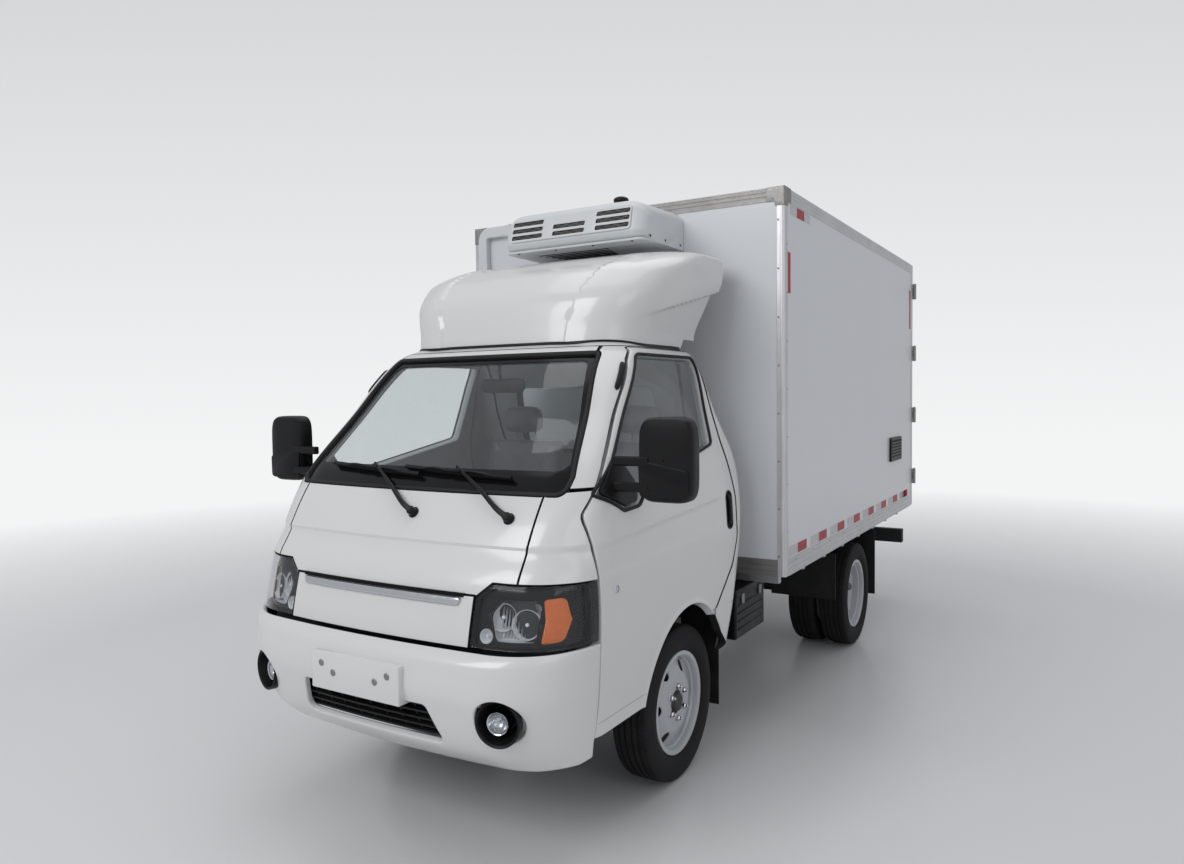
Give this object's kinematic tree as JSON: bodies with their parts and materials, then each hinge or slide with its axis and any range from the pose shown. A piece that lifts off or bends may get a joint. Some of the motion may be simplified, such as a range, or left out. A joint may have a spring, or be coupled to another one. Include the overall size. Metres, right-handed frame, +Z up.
{
  "type": "refrigerated truck",
  "caption": "Small cab-over refrigerated truck with an insulated box, roof-front cooling unit, wind deflector, hinged cab doors and hinged rear cargo doors.",
  "frame": {"origin": "on the ground, on the centre plane, at mid overall length", "axes": "+Z up; -Y towards the front of the truck; +X towards the truck's left side; wheel axes along X"},
  "size_m": [2.18, 5.054, 2.671],
  "materials": {
    "paint": "gloss",
    "glass": "gloss",
    "lamp_lens": "gloss",
    "lamp_housing": "gloss",
    "tail_lamp": "gloss",
    "black_plastic": "matte",
    "interior_plastic": "matte",
    "floor_paint": "satin",
    "seat_fabric": "matte",
    "chassis_black": "satin",
    "engine_iron": "matte",
    "exhaust_steel": "satin",
    "tank_steel": "satin",
    "radiator_alloy": "satin",
    "wheel_paint": "satin",
    "tyre": "matte",
    "box_panel": "gloss",
    "box_floor": "satin",
    "box_trim": "satin",
    "unit_plastic": "satin"
  },
  "bodies": {
    "truck": {"back_window": "glass", "battery_box": "black_plastic", "box_floor": "box_floor", "box_front_wall": "box_panel", "box_roof": "box_panel", "box_side_walls": "box_panel", "box_trim": "box_trim", "bumper": "paint", "cab_back": "paint", "cab_floor": "floor_paint", "cab_roof": "paint", "cab_sides": "paint", "chassis_frame": "chassis_black", "cooling_unit": "unit_plastic", "corner_panels": "paint", "dashboard": "interior_plastic", "drive_shaft": "chassis_black", "engine_block": "engine_iron", "evaporator": "box_panel", "exhaust": "exhaust_steel", "fog_lamps": "lamp_housing", "front_axle": "chassis_black", "front_panel": "paint", "fuel_tank": "tank_steel", "grille_panel": "paint", "headlamps": "lamp_lens", "line_duct": "unit_plastic", "mudguards": "black_plastic", "radiator": "radiator_alloy", "rear_axle": "chassis_black", "rear_frame": "box_trim", "rear_guard": "chassis_black", "seat_left": "seat_fabric", "seat_right": "seat_fabric", "steering_wheel": "interior_plastic", "tail_lamps": "tail_lamp", "wind_deflector": "paint", "windscreen": "glass", "wipers": "black_plastic"},
    "cab_door_left": {"door_left": "paint", "door_glass_left": "glass", "mirror_left": "black_plastic"},
    "cargo_door_left": {"rear_door_left": "box_panel"},
    "steering_left": {"knuckle_left": "chassis_black"},
    "front_wheel_left": {"rim_front_left": "wheel_paint", "tyre_front_left": "tyre"},
    "rear_wheels_left": {"rims_rear_left": "wheel_paint", "tyres_rear_left": "tyre"},
    "cab_door_right": {"door_right": "paint", "door_glass_right": "glass", "mirror_right": "black_plastic"},
    "cargo_door_right": {"rear_door_right": "box_panel"},
    "steering_right": {"knuckle_right": "chassis_black"},
    "front_wheel_right": {"rim_front_right": "wheel_paint", "tyre_front_right": "tyre"},
    "rear_wheels_right": {"rims_rear_right": "wheel_paint", "tyres_rear_right": "tyre"}
  },
  "joints": [
    {"name": "cab_door_left_hinge", "type": "hinge", "parent": "truck", "child": "cab_door_left", "pos_m": [0.775, -2.105, 0.9], "axis": [0, 0, -1], "range_deg": [0, 70]},
    {"name": "cargo_door_left_hinge", "type": "hinge", "parent": "truck", "child": "cargo_door_left", "pos_m": [0.967, 2.502, 1.7], "axis": [0, 0, -1], "range_deg": [0, 265]},
    {"name": "steer_left", "type": "hinge", "parent": "truck", "child": "steering_left", "pos_m": [0.53, -1.342, 0.334], "axis": [0, 0, 1], "range_deg": [-32, 32]},
    {"name": "front_wheel_left_spin", "type": "hinge", "parent": "steering_left", "child": "front_wheel_left", "pos_m": [0.65, -1.342, 0.334], "axis": [1, 0, 0], "continuous": true},
    {"name": "rear_wheels_left_spin", "type": "hinge", "parent": "truck", "child": "rear_wheels_left", "pos_m": [0.698, 1.058, 0.334], "axis": [1, 0, 0], "continuous": true},
    {"name": "cab_door_right_hinge", "type": "hinge", "parent": "truck", "child": "cab_door_right", "pos_m": [-0.775, -2.105, 0.9], "axis": [0, 0, 1], "range_deg": [0, 70]},
    {"name": "cargo_door_right_hinge", "type": "hinge", "parent": "truck", "child": "cargo_door_right", "pos_m": [-0.967, 2.502, 1.7], "axis": [0, 0, 1], "range_deg": [0, 265]},
    {"name": "steer_right", "type": "hinge", "parent": "truck", "child": "steering_right", "pos_m": [-0.53, -1.342, 0.334], "axis": [0, 0, 1], "range_deg": [-32, 32]},
    {"name": "front_wheel_right_spin", "type": "hinge", "parent": "steering_right", "child": "front_wheel_right", "pos_m": [-0.65, -1.342, 0.334], "axis": [1, 0, 0], "continuous": true},
    {"name": "rear_wheels_right_spin", "type": "hinge", "parent": "truck", "child": "rear_wheels_right", "pos_m": [-0.698, 1.058, 0.334], "axis": [1, 0, 0], "continuous": true}
  ],
  "couplings": [
    {"joint": "steer_right", "follows": "steer_left", "ratio": 1}
  ]
}
